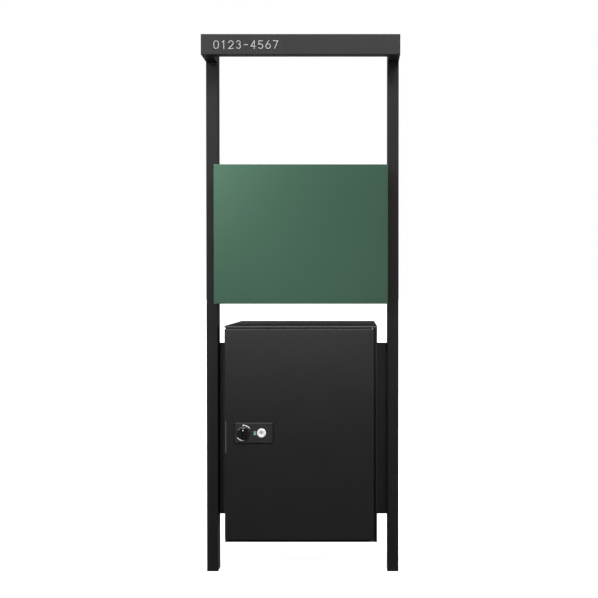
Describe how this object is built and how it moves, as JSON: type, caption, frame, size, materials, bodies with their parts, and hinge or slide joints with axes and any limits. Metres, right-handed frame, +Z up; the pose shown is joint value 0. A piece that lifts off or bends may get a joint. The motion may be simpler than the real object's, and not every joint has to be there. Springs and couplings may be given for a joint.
{
  "type": "gate post unit with parcel drop box and letter box",
  "caption": "Two-post gate unit with a fascia, a letter box behind a hinged front panel, and a lockable parcel drop box with a side-hung door.",
  "frame": {"origin": "middle of the bounding box's footprint, at the ground line where the posts end", "axes": "+Z up; the fascia, front panel and parcel door face -Y; +X to the right seen from the front"},
  "size_m": [0.545, 0.3766, 1.5],
  "materials": {
    "frame_black": "satin powder coat",
    "mailbox_black": "satin powder coat",
    "box_black": "fine-textured powder coat",
    "door_black": "fine-textured powder coat",
    "inner_grey": "matt powder coat",
    "panel_green": "satin powder coat",
    "alloy": "machined",
    "zinc_steel": "zinc plated",
    "rubber_black": "matt",
    "character_grey": "fine brushed",
    "pull_metal": "satin",
    "lock_plate_black": "satin",
    "knob_black": "gloss",
    "lock_chrome": "satin chrome",
    "key_metal": "polished",
    "window_clear": "clear",
    "flag_green": "gloss",
    "flag_red": "gloss"
  },
  "bodies": {
    "unit_frame": {"post_left": "frame_black", "post_right": "frame_black", "post_top_caps": "frame_black", "post_foot_plugs": "alloy", "fascia": "frame_black", "fascia_end_caps": "frame_black", "arm_left": "frame_black", "arm_right": "frame_black", "arm_joiners": "alloy", "arm_screws": "zinc_steel", "number_characters": "character_grey", "mail_left_wall": "mailbox_black", "mail_right_wall": "mailbox_black", "mail_top": "mailbox_black", "mail_floor": "mailbox_black", "mail_slot_plate": "inner_grey", "mail_guide": "inner_grey", "mail_rear_frame": "mailbox_black", "mail_spacers": "rubber_black", "mail_screws": "zinc_steel", "flap_lugs": "zinc_steel", "box_left_wall": "box_black", "box_right_wall": "box_black", "box_roof": "box_black", "box_floor": "box_black", "box_back": "box_black", "box_jamb": "box_black", "floor_mat": "rubber_black", "bracket_left": "box_black", "bracket_right": "box_black", "bracket_screws": "zinc_steel", "hinge_bushes": "zinc_steel", "strike_plate": "zinc_steel"},
    "mail_flap": {"flap_panel": "panel_green", "flap_stiffener": "inner_grey", "flap_pins": "zinc_steel", "flap_bumpers": "rubber_black"},
    "mail_rear_door": {"rear_door": "mailbox_black", "rear_door_pins": "zinc_steel", "rear_door_seal": "rubber_black", "rear_lock_body": "lock_chrome"},
    "rear_lock": {"rear_lock_turn": "lock_chrome", "rear_lock_cam": "zinc_steel"},
    "parcel_door": {"door_skin": "door_black", "door_liner": "inner_grey", "door_seal": "rubber_black", "door_pins": "zinc_steel", "door_hinge_blocks": "zinc_steel", "finger_pull": "pull_metal", "lock_plate": "lock_plate_black", "lock_case": "zinc_steel", "key_cylinder": "lock_chrome", "indicator_window": "window_clear"},
    "knob": {"lock_knob": "knob_black", "knob_spindle": "zinc_steel", "lock_cam": "zinc_steel"},
    "key": {"key_plug": "key_metal"},
    "indicator": {"indicator_open": "flag_green", "indicator_locked": "flag_red"}
  },
  "joints": [
    {"name": "parcel_door_hinge", "type": "hinge", "parent": "unit_frame", "child": "parcel_door", "pos_m": [0.1964, -0.16625, 0.4055], "axis": [0, 0, 1], "range_deg": [0, 110]},
    {"name": "lock_knob_turn", "type": "hinge", "parent": "parcel_door", "child": "knob", "pos_m": [-0.157, -0.17175, 0.409], "axis": [0, 1, 0], "range_deg": [0, 90]},
    {"name": "indicator_slide", "type": "slide", "parent": "parcel_door", "child": "indicator", "axis": [0, 0, 1], "range_m": [0, 0.012]},
    {"name": "key_turn", "type": "hinge", "parent": "parcel_door", "child": "key", "pos_m": [-0.1075, -0.17175, 0.409], "axis": [0, 1, 0], "range_deg": [0, 90]},
    {"name": "mail_flap_hinge", "type": "hinge", "parent": "unit_frame", "child": "mail_flap", "pos_m": [0, -0.16475, 1.138], "axis": [-1, 0, 0], "range_deg": [0, 70]},
    {"name": "mail_rear_hinge", "type": "hinge", "parent": "unit_frame", "child": "mail_rear_door", "pos_m": [-0.2325, -0.01775, 0.954], "axis": [0, 0, 1], "range_deg": [0, 95]},
    {"name": "rear_lock_turn", "type": "hinge", "parent": "mail_rear_door", "child": "rear_lock", "pos_m": [0.2, -0.01175, 0.954], "axis": [0, -1, 0], "range_deg": [0, 90]}
  ],
  "couplings": [
    {"joint": "indicator_slide", "follows": "lock_knob_turn", "m_per_rad": 0.00763}
  ]
}
